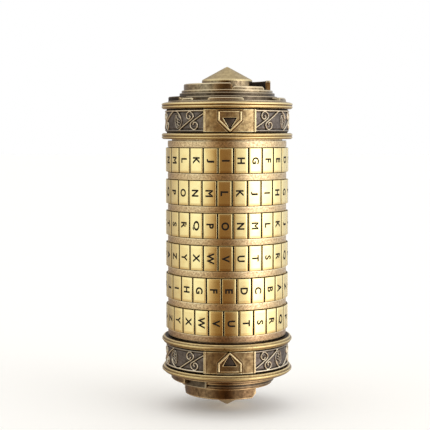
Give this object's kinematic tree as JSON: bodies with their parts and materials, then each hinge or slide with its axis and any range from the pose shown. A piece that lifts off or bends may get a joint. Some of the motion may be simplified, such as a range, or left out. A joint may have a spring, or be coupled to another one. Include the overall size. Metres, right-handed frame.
{
  "type": "cryptex",
  "caption": "Cylindrical word lock with turning letter dials on a slotted sleeve and a vault tube that slides out when its teeth meet the notches.",
  "frame": {"origin": "centre of the object, on its axis, halfway between its two tips", "axes": "+Z along the axis towards the cap that carries the vault; -Y towards the two pointers"},
  "size_m": [0.0576, 0.0576, 0.15],
  "materials": {
    "tile_brass": "polished, letters filled black",
    "code_brass": "machined",
    "spacer_bronze": "brushed antique bronze",
    "cap_brass": "antique brass, darkened in the corners",
    "relief_pewter": "blackened zinc casting with rubbed edges",
    "crown_bronze": "dark antique bronze",
    "inner_brass": "drawn tube",
    "steel": "plain"
  },
  "bodies": {
    "base": {"sleeve": "inner_brass", "base_plug": "inner_brass", "base_collar": "spacer_bronze", "retaining_collar": "spacer_bronze", "retaining_clip": "steel", "base_band": "cap_brass", "base_relief": "relief_pewter", "base_marker": "cap_brass", "base_end_plate": "crown_bronze", "base_crown": "crown_bronze", "base_cone": "cap_brass", "base_screws": "steel", "spacer_1": "spacer_bronze", "spacer_2": "spacer_bronze", "spacer_3": "spacer_bronze", "spacer_4": "spacer_bronze", "spacer_5": "spacer_bronze"},
    "dial_1": {"letter_ring_1": "tile_brass", "code_ring_1": "code_brass"},
    "dial_2": {"letter_ring_2": "tile_brass", "code_ring_2": "code_brass"},
    "dial_3": {"letter_ring_3": "tile_brass", "code_ring_3": "code_brass"},
    "dial_4": {"letter_ring_4": "tile_brass", "code_ring_4": "code_brass"},
    "dial_5": {"letter_ring_5": "tile_brass", "code_ring_5": "code_brass"},
    "dial_6": {"letter_ring_6": "tile_brass", "code_ring_6": "code_brass"},
    "vault": {"vault_tube": "inner_brass", "vault_plug": "inner_brass", "top_band": "cap_brass", "top_relief": "relief_pewter", "top_marker": "cap_brass", "top_end_plate": "crown_bronze", "top_crown": "crown_bronze", "top_cone": "cap_brass", "top_screws": "steel", "lock_tooth_1": "steel", "lock_tooth_2": "steel", "lock_tooth_3": "steel", "lock_tooth_4": "steel", "lock_tooth_5": "steel", "lock_tooth_6": "steel"}
  },
  "joints": [
    {"name": "dial_1_spin", "type": "hinge", "parent": "base", "child": "dial_1", "pos_m": [0, 0, 0.0344], "axis": [0, 0, 1], "continuous": true},
    {"name": "dial_2_spin", "type": "hinge", "parent": "base", "child": "dial_2", "pos_m": [0, 0, 0.02064], "axis": [0, 0, 1], "continuous": true},
    {"name": "dial_3_spin", "type": "hinge", "parent": "base", "child": "dial_3", "pos_m": [0, 0, 0.00688], "axis": [0, 0, 1], "continuous": true},
    {"name": "dial_4_spin", "type": "hinge", "parent": "base", "child": "dial_4", "pos_m": [0, 0, -0.00688], "axis": [0, 0, 1], "continuous": true},
    {"name": "dial_5_spin", "type": "hinge", "parent": "base", "child": "dial_5", "pos_m": [0, 0, -0.02064], "axis": [0, 0, 1], "continuous": true},
    {"name": "dial_6_spin", "type": "hinge", "parent": "base", "child": "dial_6", "pos_m": [0, 0, -0.0344], "axis": [0, 0, 1], "continuous": true},
    {"name": "vault_slide", "type": "slide", "parent": "base", "child": "vault", "axis": [0, 0, 1], "range_m": [0, 0.09]}
  ]
}
